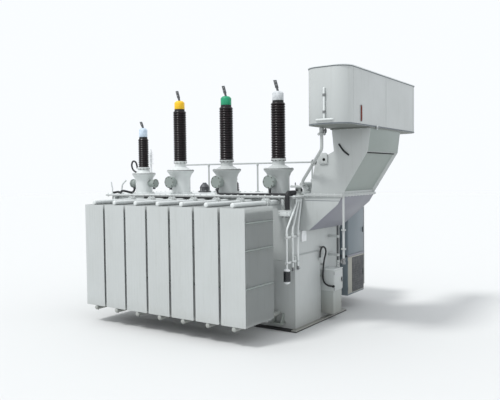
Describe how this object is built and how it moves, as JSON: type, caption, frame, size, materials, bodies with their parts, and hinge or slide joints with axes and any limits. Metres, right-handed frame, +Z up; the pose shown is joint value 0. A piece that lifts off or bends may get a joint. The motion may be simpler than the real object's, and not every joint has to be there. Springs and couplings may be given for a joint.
{
  "type": "power transformer",
  "caption": "Oil-filled power transformer with two banks of plate radiators, a row of tall porcelain bushings on turrets and a box conservator on a leaning bracket.",
  "frame": {"origin": "on the ground under the middle of the tank's base plate", "axes": "+X along the tank to the conservator end, +Y across it to the far radiator bank, +Z up"},
  "size_m": [6.418, 4.98, 4.825],
  "materials": {
    "grey_paint": "satin",
    "brown_glaze": "glossy",
    "bare_metal": "dull",
    "cap_light_blue": "matte",
    "cap_yellow": "matte",
    "cap_green": "matte",
    "cap_pale_grey": "matte",
    "breather_glass": "glossy",
    "white_plastic": "matte",
    "gauge_red": "glossy",
    "relay_paint": "satin",
    "black_rubber": "matte"
  },
  "bodies": {
    "root": {"bracket_lower": "grey_paint", "bracket_upper": "grey_paint", "breather_canister": "breather_glass", "breather_caps": "white_plastic", "breather_pipe": "grey_paint", "bushing_cap_left": "cap_yellow", "bushing_cap_middle": "cap_green", "bushing_cap_neutral": "cap_light_blue", "bushing_cap_right": "cap_pale_grey", "bushing_porcelain": "brown_glaze", "bushing_terminals": "bare_metal", "bushing_turrets": "grey_paint", "cabinet_brackets": "grey_paint", "conservator_body": "grey_paint", "conservator_pipes": "grey_paint", "conservator_roof": "grey_paint", "control_cabinet": "grey_paint", "control_conduits": "black_rubber", "drain_pipes": "grey_paint", "drive_box": "grey_paint", "drive_shaft": "grey_paint", "gas_relay": "relay_paint", "gland_box": "grey_paint", "jacking_pads": "grey_paint", "level_gauge": "gauge_red", "lifting_lugs": "grey_paint", "low_voltage_bushings": "brown_glaze", "neutral_arrester": "white_plastic", "oil_pipe": "grey_paint", "pipe_bars": "grey_paint", "radiator_far_1": "grey_paint", "radiator_far_2": "grey_paint", "radiator_far_3": "grey_paint", "radiator_far_4": "grey_paint", "radiator_far_5": "grey_paint", "radiator_far_6": "grey_paint", "radiator_far_7": "grey_paint", "radiator_near_1": "grey_paint", "radiator_near_2": "grey_paint", "radiator_near_3": "grey_paint", "radiator_near_4": "grey_paint", "radiator_near_5": "grey_paint", "radiator_near_6": "grey_paint", "radiator_near_7": "grey_paint", "radiator_valves_far": "grey_paint", "radiator_valves_near": "grey_paint", "railing_posts": "grey_paint", "railing_rail": "grey_paint", "relief_valve": "grey_paint", "tank_base": "grey_paint", "tank_body": "grey_paint", "tank_cover": "grey_paint", "tank_stiffeners": "grey_paint", "tap_changer_head": "grey_paint", "terminal_boxes": "grey_paint"}
  },
  "joints": []
}
